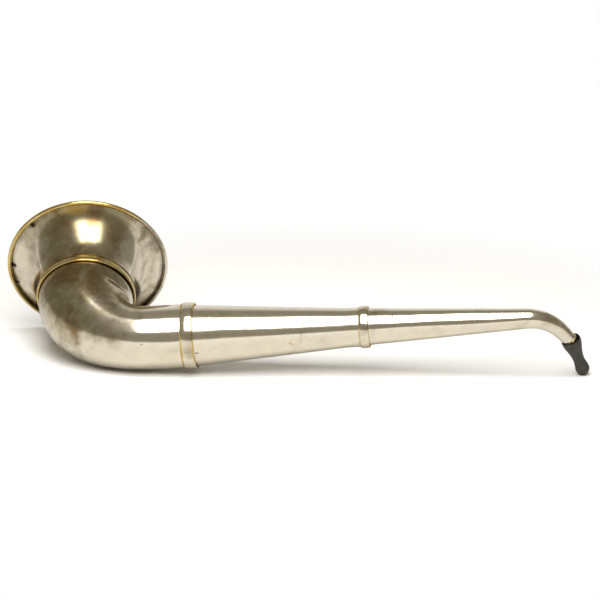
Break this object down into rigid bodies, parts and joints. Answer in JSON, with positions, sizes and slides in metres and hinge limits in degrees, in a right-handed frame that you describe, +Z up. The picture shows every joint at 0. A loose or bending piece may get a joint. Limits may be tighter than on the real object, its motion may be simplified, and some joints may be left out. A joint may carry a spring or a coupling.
{
  "type": "ear trumpet",
  "caption": "Take-apart ear trumpet: a rolled-rim bell on a bent elbow, a long tapered horn and a gooseneck with a hard-rubber ear tip.",
  "frame": {"origin": "on the surface that the trumpet lies on, below the middle of its whole box", "axes": "+Z up from that surface, +X along the long horn towards the ear tip, +Y towards the bell's mouth"},
  "size_m": [0.4502, 0.1361, 0.1148],
  "materials": {
    "nickel_plate": "nickel plate over brass, polished, with olive-brown tarnish",
    "worn_nickel_band": "nickel plate worn through to brass at the edges",
    "worn_brass": "bare polished brass with brown tarnish",
    "bare_brass": "dull brass, not plated",
    "hard_rubber": "turned hard rubber, satin, greyed with age"
  },
  "bodies": {
    "elbow": {"elbow": "nickel_plate", "elbow_collar": "worn_nickel_band"},
    "neck_sleeve": {"neck_sleeve": "bare_brass"},
    "bell": {"bell": "nickel_plate", "bell_rim_wire": "bare_brass", "neck_collar": "worn_brass"},
    "horn_sleeve": {"horn_sleeve": "bare_brass"},
    "horn": {"horn": "nickel_plate", "horn_collar": "worn_nickel_band"},
    "gooseneck_sleeve": {"gooseneck_sleeve": "bare_brass"},
    "gooseneck": {"gooseneck": "nickel_plate", "gooseneck_cap": "worn_brass", "nipple": "bare_brass"},
    "ear_tip_bush": {"ear_tip_bush": "bare_brass"},
    "ear_tip": {"ear_tip": "hard_rubber"}
  },
  "joints": [
    {"name": "bell_turn", "type": "hinge", "parent": "elbow", "child": "neck_sleeve", "pos_m": [-0.15923, 0.00438, 0.04151], "axis": [-0.0998, 0.9183, 0.383], "continuous": true},
    {"name": "bell_pull", "type": "slide", "parent": "neck_sleeve", "child": "bell", "axis": [-0.0998, 0.9183, 0.383], "range_m": [0, 0.02]},
    {"name": "horn_pull", "type": "slide", "parent": "elbow", "child": "horn_sleeve", "axis": [0.997, 0, 0.0777], "range_m": [0, 0.03]},
    {"name": "horn_turn", "type": "hinge", "parent": "horn_sleeve", "child": "horn", "pos_m": [-0.07335, -0.04291, 0.02808], "axis": [0.997, 0, 0.0777], "continuous": true},
    {"name": "gooseneck_pull", "type": "slide", "parent": "horn", "child": "gooseneck_sleeve", "axis": [0.997, 0, 0.0777], "range_m": [0, 0.03]},
    {"name": "gooseneck_turn", "type": "hinge", "parent": "gooseneck_sleeve", "child": "gooseneck", "pos_m": [0.05766, -0.04291, 0.03828], "axis": [0.997, 0, 0.0777], "continuous": true},
    {"name": "ear_tip_pull", "type": "slide", "parent": "gooseneck", "child": "ear_tip_bush", "axis": [0.337, 0.3215, -0.8849], "range_m": [0, 0.015]},
    {"name": "ear_tip_turn", "type": "hinge", "parent": "ear_tip_bush", "child": "ear_tip", "pos_m": [0.21024, -0.03591, 0.03034], "axis": [0.337, 0.3215, -0.8849], "continuous": true}
  ]
}
